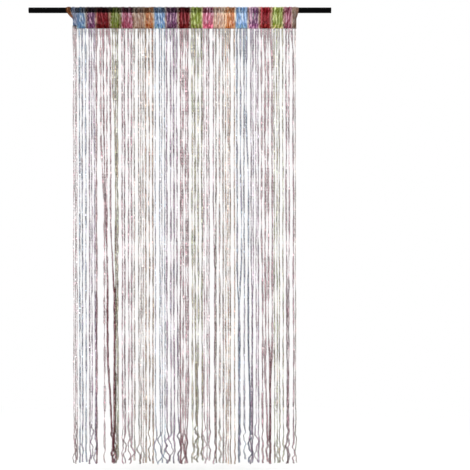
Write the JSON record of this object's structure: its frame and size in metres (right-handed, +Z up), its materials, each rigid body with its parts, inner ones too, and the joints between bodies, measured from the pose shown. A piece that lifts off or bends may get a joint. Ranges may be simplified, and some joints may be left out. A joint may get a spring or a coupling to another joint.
{
  "type": "sequin string door curtain on a rod",
  "caption": "String door curtain of knitted sequin strands in rainbow bands, hung from a plain black rod by the pocket in its heading.",
  "frame": {"origin": "centre of the rod's left end face, seen from the front", "axes": "+X along the rod to its right end, +Z up, the front of the curtain faces -Y"},
  "size_m": [1.331, 0.0294, 2.0096],
  "materials": {
    "rod_black": "satin black",
    "heading_yarn": "knitted yarn in bands of seven colours, partly see-through",
    "strands_dusky": "glossy knitted yarn with small shiny sequins",
    "strands_blue": "glossy knitted yarn with small shiny sequins",
    "strands_purple": "glossy knitted yarn with small shiny sequins",
    "strands_red": "glossy knitted yarn with small shiny sequins",
    "strands_green": "glossy knitted yarn with small shiny sequins",
    "strands_pink": "glossy knitted yarn with small shiny sequins",
    "strands_beige": "glossy knitted yarn with small shiny sequins",
    "strands_orange": "glossy knitted yarn with small shiny sequins"
  },
  "bodies": {
    "root": {"rod": "rod_black", "heading": "heading_yarn", "strands_edge": "strands_dusky", "strands_blue_1": "strands_blue", "strands_blue_2": "strands_blue", "strands_blue_3": "strands_blue", "strands_purple_1": "strands_purple", "strands_purple_2": "strands_purple", "strands_purple_3": "strands_purple", "strands_red_1": "strands_red", "strands_red_2": "strands_red", "strands_red_3": "strands_red", "strands_green_1": "strands_green", "strands_green_2": "strands_green", "strands_green_3": "strands_green", "strands_pink_1": "strands_pink", "strands_pink_2": "strands_pink", "strands_pink_3": "strands_pink", "strands_beige_1": "strands_beige", "strands_beige_2": "strands_beige", "strands_beige_3": "strands_beige", "strands_orange_1": "strands_orange", "strands_orange_2": "strands_orange"}
  },
  "joints": []
}
